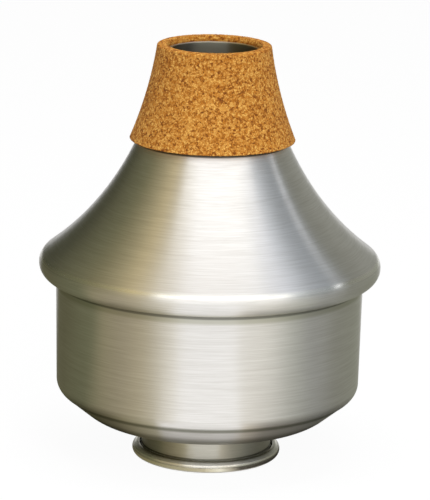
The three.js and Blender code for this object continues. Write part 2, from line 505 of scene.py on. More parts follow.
@dataclass(frozen=True)
class SpunAluminium:
    """Aluminium turned or spun on a lathe and brushed as it turned: satin, with fine lines round the axis.

    The lines spread a reflection up and down the surface and keep it narrow round the axis, which is why
    the metal shows bright and dark bands from top to bottom. Faces that look towards the axis, inside the
    hollows, get a darker colour as painted shade.

    Attributes:
        name: The material's name.
        pale: Clean metal, as sRGB hex.
        deep: Metal in the grooves of the lines, as sRGB hex.
        inside_shade: Painted shade on faces that look towards the axis, inside the hollows, as sRGB hex.
        roughness: Of the brushed metal.
        roughness_swing: How much the roughness changes from line to line.
        anisotropy: How much narrower a reflection is round the axis than along it.
        groove_depth: How deep the lines are.
        line_spacing: From line to line. Real ones lie closer and wouldn't show, so these are drawn coarser.
        line_detail: Into how many finer sets the lines break up.
        line_mixture: How strong each finer set is.
        line_ends: The noise's values at the bottom of a groove and on a crest.
        strokes_round: How quickly a line changes on its way round.
        spread_turn: The quarter turn that lays a reflection's narrow side round the axis.
        inside_ends: Where a face takes the full painted shade and where none, from -1 facing the axis to 1
            facing away.
        bands: Rings that look different: burnished rings, and rings of painted shade and painted highlight.
    """

    name: str
    pale: str
    deep: str
    inside_shade: str
    roughness: float
    roughness_swing: float
    anisotropy: float
    groove_depth: float
    line_spacing: float = 0.0004
    line_detail: float = 3.0
    line_mixture: float = 0.65
    line_ends: tuple[float, float] = (0.3, 0.7)
    strokes_round: float = 3.0
    spread_turn: float = 0.25
    inside_ends: tuple[float, float] = (-0.35, -0.05)
    bands: tuple[Band, ...] = ()

    def material(self) -> bpy.types.Material:
        """Builds the material.

        Returns:
            The material, with its lines on Object coordinates.
        """
        material, add = new_material(self.name)
        spots = add("ShaderNodeTexCoord").outputs
        split = add("ShaderNodeSeparateXYZ", {0: spots["Object"]}).outputs
        flat = add("ShaderNodeCombineXYZ", {"X": split["X"], "Y": split["Y"]})
        heading = add("ShaderNodeVectorMath", {0: flat}, operation="NORMALIZE")
        lines = self._lines(add, flat, split["Z"], heading)
        tones = {"Factor": lines, 6: linear(self.deep), 7: linear(self.pale)}
        colour = add("ShaderNodeMix", tones, data_type="RGBA")
        rough = add(
            "ShaderNodeMapRange",
            {
                "Value": lines,
                "To Min": self.roughness + self.roughness_swing,
                "To Max": self.roughness - self.roughness_swing,
            },
        )
        # Each band lays its own colour and roughness on a ring: burnish, painted shade or a painted
        # highlight.
        for band in self.bands:
            lower = (band.low - band.fade, band.low)
            cover = between(add, split["Z"], lower, (band.high + band.fade, band.high))
            tones = {"Factor": cover, 6: colour, 7: linear(band.tone)}
            colour = add("ShaderNodeMix", tones, data_type="RGBA")
            levels = {"Factor": cover, 2: rough, 3: self.roughness * band.roughness}
            rough = add("ShaderNodeMix", levels, data_type="FLOAT")
        # Faces that look towards the axis, inside the hollows, take a darker colour as painted shade.
        facing = add("ShaderNodeVectorMath", {0: spots["Normal"], 1: heading}, operation="DOT_PRODUCT")
        low, high = self.inside_ends
        fall = {"Value": facing, "From Min": low, "From Max": high, "To Min": 1.0, "To Max": 0.0}
        inside = add("ShaderNodeMapRange", fall)
        tones = {"Factor": inside, 6: colour, 7: linear(self.inside_shade)}
        bump = {"Strength": 1.0, "Distance": self.groove_depth, "Height": lines}
        surface = add(
            "ShaderNodeBsdfPrincipled",
            {
                "Base Color": add("ShaderNodeMix", tones, data_type="RGBA"),
                "Roughness": rough,
                "Normal": add("ShaderNodeBump", bump),
                "Tangent": add("ShaderNodeTangent", direction_type="RADIAL", axis="Z"),
                "Metallic": 1.0,
                "Anisotropic": self.anisotropy,
                "Anisotropic Rotation": self.spread_turn,
            },
        )
        add("ShaderNodeOutputMaterial", {"Surface": surface})
        return material

    def _lines(
        self,
        add: Adder,
        flat: bpy.types.Node,
        height: bpy.types.NodeSocket,
        heading: bpy.types.Node,
    ) -> bpy.types.Node:
        """Adds a noise that is drawn out round the axis.

        Args:
            add: Adds a node to the material's tree.
            flat: The place without its height.
            height: Height above the floor.
            heading: The direction from the axis.

        Returns:
            0 in a groove to 1 on a crest.
        """
        per_metre = 1 / self.line_spacing
        radius = add("ShaderNodeVectorMath", {0: flat}, operation="LENGTH")
        across = add("ShaderNodeMath", {0: radius, 1: per_metre}, operation="MULTIPLY")
        up = add("ShaderNodeMath", {0: height, 1: per_metre}, operation="MULTIPLY")
        strokes = add("ShaderNodeVectorMath", {0: heading, "Scale": self.strokes_round}, operation="SCALE")
        strokes = add("ShaderNodeSeparateXYZ", {0: strokes}).outputs
        vector = add("ShaderNodeCombineXYZ", {"X": across, "Y": up, "Z": strokes["X"]})
        grain = {"Scale": 1.0, "Detail": self.line_detail, "Roughness": self.line_mixture}
        where = {"Vector": vector, "W": strokes["Y"]}
        noise = add("ShaderNodeTexNoise", where | grain, noise_dimensions="4D")
        low, high = self.line_ends
        return add("ShaderNodeMapRange", {"Value": noise, "From Min": low, "From Max": high})


@dataclass(frozen=True)
class AgglomeratedCork:
    """Cork granules pressed together with binder and ground to a cone: matt, speckled brown.

    Attributes:
        name: The material's name.
        relief: The modelled grains, which the colours follow.
        dark: Dark granules, as sRGB hex.
        middle: Most granules, as sRGB hex.
        light: Palest granules, as sRGB hex.
        seam: Binder and bark between the granules, as sRGB hex.
        stops: Where the dark, middle and light granules lie among all shades.
        fine_share: How much the small granules count for a shade.
        seam_width: Width of a seam, as a share of a small granule.
        seam_share: How much of a seam's middle its colour covers.
        dust_per_grain: How many specks of dust fit across a small granule.
        dust_detail: How many finer sizes of dust lie among them.
        dust_bump: How much the dust stands out.
        roughness: Of the ground cork.
        ior: Of the binder.
    """

    name: str
    relief: Relief
    dark: str
    middle: str
    light: str
    seam: str
    stops: tuple[float, float, float] = (0.12, 0.42, 0.9)
    fine_share: float = 0.55
    seam_width: float = 0.12
    seam_share: float = 0.55
    dust_per_grain: float = 4
    dust_detail: float = 3.0
    dust_bump: float = 0.6
    roughness: float = 0.85
    ior: float = 1.4

    def material(self) -> bpy.types.Material:
        """Builds the material.

        Returns:
            The material, with its granules on Object coordinates.
        """
        material, add = new_material(self.name)
        spot = add("ShaderNodeTexCoord").outputs["Object"]
        fine = self.relief.fine_grain
        widths = (self.relief.grain, fine)
        cells = [{"Vector": spot, "Scale": 1 / width, "Randomness": 1.0} for width in widths]
        shades = [add("ShaderNodeTexVoronoi", cell, feature="F1").outputs["Color"] for cell in cells]
        large, small = (add("ShaderNodeSeparateColor", {0: shade}) for shade in shades)
        mixture = {"Factor": self.fine_share, 2: large, 3: small}
        ramp = add("ShaderNodeValToRGB", {"Fac": add("ShaderNodeMix", mixture, data_type="FLOAT")})
        ramp.color_ramp.elements.new(1.0)
        tones = (self.dark, self.middle, self.light)
        for stop, position, tone in zip(ramp.color_ramp.elements, self.stops, tones):
            stop.position, stop.color = position, linear(tone)
        edge = add("ShaderNodeTexVoronoi", cells[1], feature="DISTANCE_TO_EDGE")
        fall = {"From Min": 0.0, "From Max": self.seam_width, "To Min": self.seam_share, "To Max": 0.0}
        seams = add("ShaderNodeMapRange", {"Value": edge} | fall)
        colour = add("ShaderNodeMix", {"Factor": seams, 6: ramp, 7: linear(self.seam)}, data_type="RGBA")
        specks = {"Vector": spot, "Scale": self.dust_per_grain / fine, "Detail": self.dust_detail}
        dust = add("ShaderNodeTexNoise", specks)
        bump = {"Strength": self.dust_bump, "Distance": self.relief.fine_depth, "Height": dust}
        surface = add(
            "ShaderNodeBsdfPrincipled",
            {
                "Base Color": colour,
                "Normal": add("ShaderNodeBump", bump),
                "Roughness": self.roughness,
                "IOR": self.ior,
            },
        )
        add("ShaderNodeOutputMaterial", {"Surface": surface})
        return material


@dataclass(frozen=True)
class MouldedRubber:
    """Black nitrile rubber, moulded: matt with a faint bloom.

    Attributes:
        name: The material's name.
        black: The clean rubber, as sRGB hex.
        bloom: Where bloom has settled, as sRGB hex.
        patch: Width of a patch of bloom.
        patch_detail: How ragged the patches are.
        roughness: Of the moulded surface.
    """

    name: str
    black: str
    bloom: str
    patch: float = 0.003
    patch_detail: float = 4.0
    roughness: float = 0.6

    def material(self) -> bpy.types.Material:
        """Builds the material.

        Returns:
            The material, with its patches on Object coordinates.
        """
        material, add = new_material(self.name)
        spot = add("ShaderNodeTexCoord").outputs["Object"]
        patches = {"Vector": spot, "Scale": 1 / self.patch, "Detail": self.patch_detail}
        cloud = add("ShaderNodeTexNoise", patches)
        tones = {"Factor": cloud, 6: linear(self.black), 7: linear(self.bloom)}
        colour = add("ShaderNodeMix", tones, data_type="RGBA")
        surface = add("ShaderNodeBsdfPrincipled", {"Base Color": colour, "Roughness": self.roughness})
        add("ShaderNodeOutputMaterial", {"Surface": surface})
        return material


@dataclass
class Stem:
    """The stem: a drawn tube whose edge is spun over inside a spun cup with a rolled rim."""

    seat: float = 0.0103
    tube_radius: float = 0.0110
    tube_wall: float = 0.0008
    tube_length: float = 0.0880
    tube_lip: float = 0.0018
    lip_bend_radius: float = 0.0004
    hole_gap: float = 0.0003
    cup_wall: float = 0.0008
    cup_base_radius: float = 0.01985
    cup_flare: float = 0.0003
    cup_corner_radius: float = 0.0020
    curl_radius: float = 0.0018
    curl_flat: float = 0.0010
    curl_end_angle: float = math.radians(104)
    edge_radius: float = 0.0002
    steps: int = 192
    bend_steps: int = 12
    corner_steps: int = 14
    curl_steps: int = 28

    def tube_section(self) -> Section:
        """Draws the tube from the edge of its lip up its bore and down its outside.

        Returns:
            Its closed section.
        """
        lip_face = self.seat - self.cup_wall - self.tube_wall
        outer_bend = self.lip_bend_radius + self.tube_wall
        bend = (self.tube_radius + self.lip_bend_radius, lip_face + outer_bend)
        bore = joined(
            [(bend[0] + self.tube_lip, lip_face)],
            arc(bend, outer_bend, -RIGHT_ANGLE, -math.pi, self.bend_steps),
            [(self.tube_radius - self.tube_wall, self.seat + self.tube_length)],
        )
        return softened(sheet(bore, -self.tube_wall), self.edge_radius)

    def cup_section(self) -> Section:
        """Draws the cup: base, wall and a rim rolled outwards with a flat to stand on.

        Returns:
            Its closed section.
        """
        half_flat = math.asin(self.curl_flat / 2 / self.curl_radius)
        mouth = self.cup_base_radius + self.cup_flare - self.cup_wall
        curl = (mouth + self.curl_radius, self.curl_radius * math.cos(half_flat))
        corner = (self.cup_base_radius - self.cup_corner_radius, self.seat - self.cup_corner_radius)
        foot = math.pi + RIGHT_ANGLE
        inner = joined(
            [(self.tube_radius + self.lip_bend_radius + self.hole_gap, self.seat - self.cup_wall)],
            arc(corner, self.cup_corner_radius - self.cup_wall, RIGHT_ANGLE, 0, self.corner_steps),
            arc(curl, self.curl_radius, math.pi, foot - half_flat, self.bend_steps),
            arc(curl, self.curl_radius, foot + half_flat, FULL_TURN + self.curl_end_angle, self.curl_steps),
        )
        return softened(sheet(inner, self.cup_wall), self.edge_radius)

    def build(self, lathe: Lathe, finish: bpy.types.Material) -> None:
        """Makes the tube and the cup and puts them on the stem's body."""
        place(lathe.turn("stem_tube_drawn", self.tube_section(), finish, self.steps), "stem_tube", Rig.STEM)
        place(lathe.turn("stem_cup_spun", self.cup_section(), finish, self.steps), "stem_cup", Rig.STEM)


@dataclass
class Socket:
    """The bush in the underside and the rubber ring in its groove."""

    stem: Stem
    bush_clearance: float = 0.00035
    bush_wall: float = 0.0013
    flange_width: float = 0.0042
    flange_thickness: float = 0.0008
    lip_width: float = 0.0011
    lip_thickness: float = 0.0008
    length: float = 0.0090
    housing_wall: float = 0.0010
    ring_thickness: float = 0.0024
    running_gap: float = 0.0003
    shell_wall: float = 0.0008
    edge_radius: float = 0.0002
    steps: int = 192
    ring_steps: int = 28

    @property
    def bore(self) -> float:
        """Gives the radius of the bush's bore."""
        return self.stem.tube_radius + self.bush_clearance

    @property
    def outer(self) -> float:
        """Gives the radius of the bush where it passes through the shell."""
        return self.bore + self.bush_wall

    @property
    def ring_radius(self) -> float:
        """Gives the radius of the circle that the ring's section is centred on."""
        return self.stem.tube_radius + self.running_gap + self.ring_thickness / 2

    @property
    def groove_bottom(self) -> float:
        """Gives the height of the groove's lower face."""
        lip_top = self.stem.seat + self.flange_thickness + self.shell_wall + self.lip_thickness
        return lip_top + self.length + self.housing_wall

    def bush_section(self) -> Section:
        """Draws the bush: flange, spun lip and the housing with the ring's groove.

        Returns:
            Its closed section.
        """
        bottom = self.stem.seat
        flange_top = bottom + self.flange_thickness
        lip_bottom = flange_top + self.shell_wall
        lip_top = lip_bottom + self.lip_thickness
        housing_bottom = self.groove_bottom - self.housing_wall
        groove_top = self.groove_bottom + self.ring_thickness + 2 * self.running_gap
        housing_top = groove_top + self.housing_wall
        bore, outer = self.bore, self.outer
        flange = outer + self.flange_width
        lip = outer + self.lip_width
        groove = self.ring_radius + self.ring_thickness / 2 + self.running_gap
        housing = groove + self.housing_wall
        section = stepped(
            (bore, bottom),
            (flange, flange_top),
            (outer, lip_bottom),
            (lip, lip_top),
            (outer, housing_bottom),
            (housing, housing_top),
            (bore, groove_top),
            (groove, self.groove_bottom),
        )
        return softened(section, self.edge_radius)

    def ring_section(self) -> Section:
        """Gives the ring's round section."""
        middle = self.groove_bottom + self.running_gap + self.ring_thickness / 2
        return arc((self.ring_radius, middle), self.ring_thickness / 2, 0, FULL_TURN, self.ring_steps)[:-1]

    def build(self, lathe: Lathe, metal: bpy.types.Material, rubber: bpy.types.Material) -> None:
        """Makes the bush on the mute's body and the ring on its own.

        Args:
            lathe: Turns the sections.
            metal: The bush's material.
            rubber: The ring's material.
        """
        bush = lathe.turn("stem_socket_turned", self.bush_section(), metal, self.steps)
        place(bush, "stem_socket", Rig.BODY)
        ring = lathe.turn("friction_ring_moulded", self.ring_section(), rubber, self.steps)
        place(ring, "friction_ring", Rig.RING)


@dataclass
class Shells:
    """The two spun shells, rolled together at the bead.

    The normals are the directions that the dish, the bevel and the crease above it face.
    """

    socket: Socket
    wall: float = 0.0008
    running_gap: float = 0.0003
    body_radius: float = 0.0525
    bead_radius: float = 0.0043
    flare_height: float = 0.0390
    neck_foot_radius: float = 0.0229
    neck_end_radius: float = 0.0143
    neck_length: float = 0.0275
    neck_foot_angle: float = math.radians(23.9)
    neck_end_angle: float = math.radians(12)
    shoulder_angle: float = math.radians(36.9)
    bead_end_angle: float = math.radians(98)
    drum_taper: float = 0.00055
    drum_length: float = 0.0325
    edge_bend_radius: float = 0.0008
    edge_gap: float = 0.00035
    corner_radius: float = 0.0047
    crease_angle: float = math.radians(10)
    bevel_angle: float = math.radians(39.4)
    bevel_foot_radius: float = 0.0384
    dish_bend_radius: float = 0.0123
    dish_angle: float = math.radians(16.5)
    fold_inner_radius: float = 0.0004
    recess_depth: float = 0.0018
    recess_clearance: float = 0.0008
    edge_radius: float = 0.0002
    steps: int = 256
    neck_steps: int = 24
    flare_steps: int = 72
    shoulder_steps: int = 20
    bead_steps: int = 36
    edge_steps: int = 8
    corner_steps: int = 28
    dish_steps: int = 16
    fold_steps: int = 20
    seat_sheet: float = field(init=False)
    fold_radius: float = field(init=False)
    dish_normal: float = field(init=False)
    bevel_normal: float = field(init=False)
    crease_normal: float = field(init=False)
    drum_top_radius: float = field(init=False)
    fold: Point = field(init=False)
    dish_bend: Point = field(init=False)
    corner: Point = field(init=False)
    bead: Point = field(init=False)
    neck_foot: Point = field(init=False)
    neck_end: Point = field(init=False)

    def __post_init__(self) -> None:
        """Works up the places of the folds and rolls from the cup's seat."""
        self.seat_sheet = self.socket.stem.seat + self.socket.flange_thickness
        self.fold_radius = self.fold_inner_radius + self.wall
        self.dish_normal = self.dish_angle - RIGHT_ANGLE
        self.bevel_normal = self.bevel_angle - RIGHT_ANGLE
        self.fold = (
            self.socket.stem.cup_base_radius + self.recess_clearance + self.fold_radius,
            self.seat_sheet - self.recess_depth + self.fold_radius,
        )
        dish_start = on_circle(self.fold, self.fold_radius, self.dish_normal)
        bend_share = math.cos(self.bevel_normal) - math.cos(self.dish_normal)
        bend_width = self.dish_bend_radius * bend_share
        dish_end = on_line(dish_start, self.dish_angle, self.bevel_foot_radius - bend_width)
        self.dish_bend = on_circle(dish_end, -self.dish_bend_radius, self.dish_normal)
        bevel_foot = on_circle(self.dish_bend, self.dish_bend_radius, self.bevel_normal)
        bead_center = self.body_radius - self.bead_radius
        bead_end = bead_center + self.bead_radius * math.cos(self.bead_end_angle)
        self.drum_top_radius = bead_end - self.running_gap
        self.crease_normal = self.bevel_normal - self.crease_angle
        crease_width = self.corner_radius * (1 - math.cos(self.crease_normal))
        crease_radius = self.drum_top_radius - self.drum_taper - crease_width
        crease = on_line(bevel_foot, self.bevel_angle, crease_radius)
        self.corner = on_circle(crease, -self.corner_radius, self.crease_normal)
        self.bead = (bead_center, self.corner[1] + self.drum_length + self.bead_radius)
        self.neck_foot = (self.neck_foot_radius, self.bead[1] + self.flare_height)
        self.neck_end = (self.neck_end_radius, self.neck_foot[1] + self.neck_length)

    def neck_face(self, steps: int) -> Section:
        """Draws the outer face of the neck.

        Args:
            steps: Into how many steps it is cut.

        Returns:
            Its points, from the neck's end down to its foot.
        """
        foot_slope = RIGHT_ANGLE + self.neck_foot_angle
        pull = crossing(self.neck_foot, foot_slope, self.neck_end, RIGHT_ANGLE + self.neck_end_angle)
        return curve(self.neck_end, pull, self.neck_foot, steps)

    def upper_section(self) -> Section:
        """Draws the upper shell: neck, flare and the bead rolled under.

        Returns:
            Its closed section.
        """
        start_angle = RIGHT_ANGLE - self.shoulder_angle
        bead_start = on_circle(self.bead, self.bead_radius, start_angle)
        foot_slope = RIGHT_ANGLE + self.neck_foot_angle
        pull = crossing(self.neck_foot, foot_slope, bead_start, math.pi - self.shoulder_angle)
        face = joined(
            self.neck_face(self.neck_steps),
            curve(self.neck_foot, pull, bead_start, self.flare_steps),
            arc(self.bead, self.bead_radius, start_angle, 0, self.shoulder_steps),
            arc(self.bead, self.bead_radius, 0, -self.bead_end_angle, self.bead_steps),
        )
        return softened(sheet(face, -self.wall), self.edge_radius)

    def lower_section(self) -> Section:
        """Draws the lower shell: turned edge, drum, corner, bevel, dish and the cup's recess.

        Returns:
            Its closed section.
        """
        underside = self.bead[1] - self.wall / 2
        bead_inside = self.bead_radius - self.wall
        edge = self.bead[0] + math.sqrt(bead_inside**2 - (self.wall / 2) ** 2) - self.edge_gap
        bend = (self.drum_top_radius + self.edge_bend_radius, underside - self.edge_bend_radius)
        dish = (self.bevel_normal, self.dish_normal, self.dish_steps)
        face = joined(
            [(edge, underside)],
            arc(bend, self.edge_bend_radius, RIGHT_ANGLE, math.pi, self.edge_steps),
            arc(self.corner, self.corner_radius, 0, self.crease_normal, self.corner_steps),
            arc(self.dish_bend, self.dish_bend_radius, *dish),
            arc(self.fold, self.fold_radius, self.dish_normal, -math.pi, self.fold_steps),
            [(self.fold[0] - self.fold_radius, self.seat_sheet)],
            [(self.socket.outer + self.running_gap, self.seat_sheet)],
        )
        return softened(sheet(face, -self.wall), self.edge_radius)

    def build(self, lathe: Lathe, finish: bpy.types.Material) -> None:
        """Makes both shells and puts them on the mute's body.

        Args:
            lathe: Turns the sections.
            finish: Their material.
        """
        upper = lathe.turn("upper_shell_spun", self.upper_section(), finish, self.steps)
        place(upper, "upper_shell", Rig.BODY)
        lower = lathe.turn("lower_shell_spun", self.lower_section(), finish, self.steps)
        place(lower, "lower_shell", Rig.BODY)


@dataclass
class CorkCollar:
    """The cork glued round the neck: a hollow-sided cone that stands a little past the neck's end."""

    shells: Shells
    relief: Relief
    glue_gap: float = 0.0003
    foot_wall: float = 0.00215
    top_wall: float = 0.0029
    overhang: float = 0.0017
    hollow: float = 0.00185
    edge: float = 0.0007
    steps: int = 440
    bore_steps: int = 10
    side_steps: int = 96
    edge_steps: int = 6
    land_steps: int = 14

    def section(self) -> Section:
        """Draws the collar, finely cut where its grains show.

        Returns:
            Its closed section.
        """
        bore = moved_left(self.shells.neck_face(self.bore_steps), self.glue_gap)
        foot_height = self.shells.neck_foot[1]
        top = self.shells.neck_end[1] + self.overhang
        foot = (bore[-1][0] + self.foot_wall, foot_height)
        rim = (bore[0][0] + self.top_wall, top - self.edge)
        pull = ((foot[0] + rim[0]) / 2 - self.hollow, (foot[1] + rim[1]) / 2)
        corner = (rim[0] - self.edge, rim[1])
        side = curve(foot, pull, rim, self.side_steps)
        roll = arc(corner, self.edge, 0, RIGHT_ANGLE, self.edge_steps)
        land_width = bore[0][0] - corner[0]
        land = [(corner[0] + land_width * i / self.land_steps, top) for i in range(self.land_steps + 1)]
        return joined(land, bore[:-1], [(bore[-1][0], foot_height)], side, roll[:-1])

    def build(self, lathe: Lathe, finish: bpy.types.Material) -> None:
        """Makes the collar and puts it on the mute's body."""
        piece = lathe.turn("cork_collar_granules", self.section(), finish, self.steps, self.relief)
        place(piece, "cork_collar", Rig.BODY)


@dataclass(frozen=True)
class Card:
    """A sheet of card in the light tent round the mute. It shows in the metal alone.

    Directions across a card are given by the place on the mute where they show: 0 is the middle of the
    mute as the camera sees it, and 90 is its right edge. So the card's side edges show as straight lines
    from the top of the mute to its foot.

    Attributes:
        name: What it is.
        tones: Colours as sRGB hex, each at its direction in degrees, from the left edge to the right.
        floor: Distances from the axis between which it lies on the floor, if it does.
        rise: Angles between which it stands, if it does: 0 is in front, 90 overhead and 180 behind.
        fade: Over how many degrees its edge nearer the middle runs out.
        far_fade: Over how many degrees its outer edge runs out.
        glow: How bright it is.
    """

    name: str
    tones: tuple[tuple[float, str], ...]
    floor: tuple[float, float] | None = None
    rise: tuple[float, float] | None = None
    fade: float = 3.0
    far_fade: float = 10.0
    glow: float = 1.0

    @property
    def left(self) -> float:
        """Gives the direction of its left edge in degrees."""
        return self.tones[0][0]

    @property
    def width(self) -> float:
        """Gives its width in degrees."""
        return self.tones[-1][0] - self.left

    def profile(self, direction: float, tent: Tent, nearer: float) -> list[tuple[float, float, float]]:
        """Gives the card's points in one direction.

        Args:
            direction: Where they show, in radians.
            tent: The tent's sizes.
            nearer: How far inside the tent's wall it hangs.

        Returns:
            The points from the floor upwards.
        """
        aside = tent.view * math.sin(direction)
        span = math.sqrt(1 - aside**2)
        foot = Vector((aside * math.cos(direction), aside * math.sin(direction), 0))
        ahead = Vector((math.sin(direction), -math.cos(direction), 0))
        points = []
        if self.floor:
            outward = (foot + ahead * span).normalized()
            points += [tuple(outward * r + Vector((0, 0, tent.lift))) for r in self.floor]
        if self.rise:
            low, high = (math.radians(a) for a in self.rise)
            for i in range(tent.steps + 1):
                angle = low + (high - low) * i / tent.steps
                arm = ahead * math.cos(angle) + Vector((0, 0, math.sin(angle)))
                points.append(tuple((foot + arm * span) * (tent.radius - nearer)))
        return points

    def build(self, tent: Tent, nearer: float) -> bpy.types.Object:
        """Makes the card.

        Args:
            tent: The tent's sizes.
            nearer: How far inside the tent's wall it hangs.

        Returns:
            The card, which only reflections see.
        """
        columns = max(tent.least_columns, round(self.width / tent.column))
        points: list[tuple[float, float, float]] = []
        shares: list[float] = []
        for i in range(columns + 1):
            direction = math.radians(self.left + self.width * i / columns)
            column = self.profile(direction, tent, nearer)
            points += column
            shares += [i / columns] * len(column)
        rows = len(points) // (columns + 1)
        faces = [
            (i * rows + j, (i + 1) * rows + j, (i + 1) * rows + j + 1, i * rows + j + 1)
            for i in range(columns)
            for j in range(rows - 1)
        ]
        mesh = bpy.data.meshes.new(self.name)
        mesh.from_pydata(points, [], faces)
        mesh.attributes.new("share", "FLOAT", "POINT").data.foreach_set("value", shares)
        mesh.materials.append(self._paint())
        hung = linked(self.name, mesh)
        for sight in ("visible_camera", "visible_diffuse", "visible_transmission", "visible_shadow"):
            setattr(hung, sight, False)
        return hung

    def _paint(self) -> bpy.types.Material:
        """Builds the card's paint, which runs out at both side edges.

        Returns:
            The material, whose colours follow the share of the card's width.
        """
        material, add = new_material(self.name)
        material.cycles.emission_sampling = "NONE"
        share = add("ShaderNodeAttribute", attribute_name="share").outputs["Fac"]
        ramp = add("ShaderNodeValToRGB", {"Fac": share})
        stops = ramp.color_ramp.elements
        while len(stops) < len(self.tones):
            stops.new(1.0)
        for stop, (direction, tone) in zip(stops, self.tones):
            stop.position, stop.color = (direction - self.left) / self.width, linear(tone)
        hangs_left = self.left + self.width / 2 < 0
        fades = (self.far_fade, self.fade) if hangs_left else (self.fade, self.far_fade)
        left, right = (fade / self.width for fade in fades)
        cover = between(add, share, (0.0, left), (1.0, 1 - right))
        clear = add("ShaderNodeBsdfTransparent")
        paint = add("ShaderNodeEmission", {"Color": ramp, "Strength": self.glow})
        surface = add("ShaderNodeMixShader", {0: cover, 1: clear, 2: paint})
        add("ShaderNodeOutputMaterial", {"Surface": surface})
        return material


@dataclass(frozen=True)
class Tent:
    """The light tent that the cards hang in.

    Attributes:
        radius: From the mute's axis to the tent's wall.
        view: How level the camera looks, as the cosine of its pitch.
        lift: How far a card lies above the floor.
        steps: Into how many steps a card's rise is cut.
        column: Width of a card's columns in degrees.
        least_columns: The fewest columns of a card.
        layer: How far each card hangs inside the one before.
        FAR: Distances from the axis between which the far cards lie on the floor.
        NEAR: The same for the near cards.
        SHADE: The same for the shades.
        RIM: The same for the cards that light the lower edge of the cup's rim.
        HIGH: Angles between which the high cards stand.
        cards: The cards.
    """

    radius: float = 0.40
    view: float = 0.97
    lift: float = 0.0003
    steps: int = 24
    column: float = 2.0
    least_columns: int = 2
    layer: float = 0.002
    FAR = (0.075, 0.30)
    NEAR = (0.038, 0.075)
    SHADE = (0.028, 0.038)
    RIM = (0.0225, 0.028)
    HIGH = (28, 160)
    cards: tuple[Card, ...] = (
        Card(
            "low_left_card",
            (
                (-84, "66654F"), (-64, "65634C"), (-44, "76785E"), (-39, "A0997C"),
                (-30, "ABA28B"), (-22, "C0B79E"), (-8, "FAF7EC"),
            ),
            floor=FAR,
            rise=(0, HIGH[0]),
        ),
        Card(
            "low_right_card",
            (
                (8, "FBFAF5"), (18, "EFEDE4"), (30, "C3C5BB"), (37, "A5A6A1"),
                (50, "919288"), (66, "8E9083"), (84, "A5A79B"),
            ),
            floor=FAR,
            rise=(0, HIGH[0]),
        ),
        Card(
            "high_left_card",
            (
                (-84, "3F4134"), (-64, "47483A"), (-44, "75745A"), (-37, "878263"),
                (-30, "AAA17E"), (-23, "DAC99C"), (-14, "E8E0CC"), (-6, "FBF7EE"),
            ),
            rise=HIGH,
            far_fade=3.0,
        ),
        Card(
            "high_right_card",
            (
                (8, "FCFDFF"), (16, "EAEEF6"), (23, "E8EDF9"), (28, "DFE5EE"), (32, "B6BCC4"),
                (40, "9CA3AA"), (50, "8A8B82"), (64, "9A9B94"), (84, "8E9088"),
            ),
            rise=HIGH,
            far_fade=4.0,
        ),
        Card(
            "streak_card",
            ((41, "F4F7FF"), (46, "F4F7FF")),
            rise=(42, 62),
            fade=2.0,
            far_fade=2.0,
            glow=1.9,
        ),
        Card(
            "overhead_window",
            ((-19, "FFFFFF"), (28, "FFFFFF")),
            rise=(26, 54),
            fade=6.0,
            far_fade=6.0,
            glow=1.9,
        ),
        Card(
            "ceiling_window",
            ((-12, "FFFFFF"), (21, "FFFFFF")),
            rise=(54, 88),
            fade=8.0,
            far_fade=8.0,
            glow=1.35,
        ),
        Card(
            "near_left_card",
            (
                (-84, "5C5A48"), (-60, "424030"), (-45, "2C2716"), (-37, "38341F"),
                (-30, "524D34"), (-24, "868062"), (-12, "C2BCA0"),
            ),
            floor=NEAR,
        ),
        Card(
            "near_right_card",
            (
                (8, "F0E4D0"), (17, "746E64"), (24, "66625A"), (30, "5A5850"),
                (37, "4A4A44"), (44, "3C3C34"), (60, "62625A"), (84, "8C8C84"),
            ),
            floor=NEAR,
        ),
        Card(
            "shade_left",
            ((-90, "66645A"), (-60, "5C5A50"), (-45, "403D35"), (0, "5E5850")),
            floor=SHADE,
            fade=0.01,
        ),
        Card(
            "shade_right",
            ((0, "5E5850"), (30, "4C4A43"), (45, "56544C"), (90, "76746C")),
            floor=SHADE,
            fade=0.01,
        ),
        Card(
            "glow_left",
            ((-90, "54513E"), (-45, "605C46"), (-24, "8E8868"), (0, "D0C8B2")),
            floor=RIM,
            fade=0.01,
        ),
        Card(
            "glow_right",
            ((0, "DCD4BE"), (6, "FFFCF0"), (11, "B8B2A6"), (15, "56534D"), (30, "383631"), (90, "2C2A27")),
            floor=RIM,
            fade=0.01,
        ),
    )

    def build(self) -> None:
        """Hangs the cards, each a little inside the one before."""
        for i, card in enumerate(self.cards):
            card.build(self, i * self.layer)


@dataclass(frozen=True)
class Lamp:
    """A soft lamp: where it hangs, how large it is and how strong."""

    name: str
    where: tuple[float, float, float]
    width: float
    depth: float
    watts: float


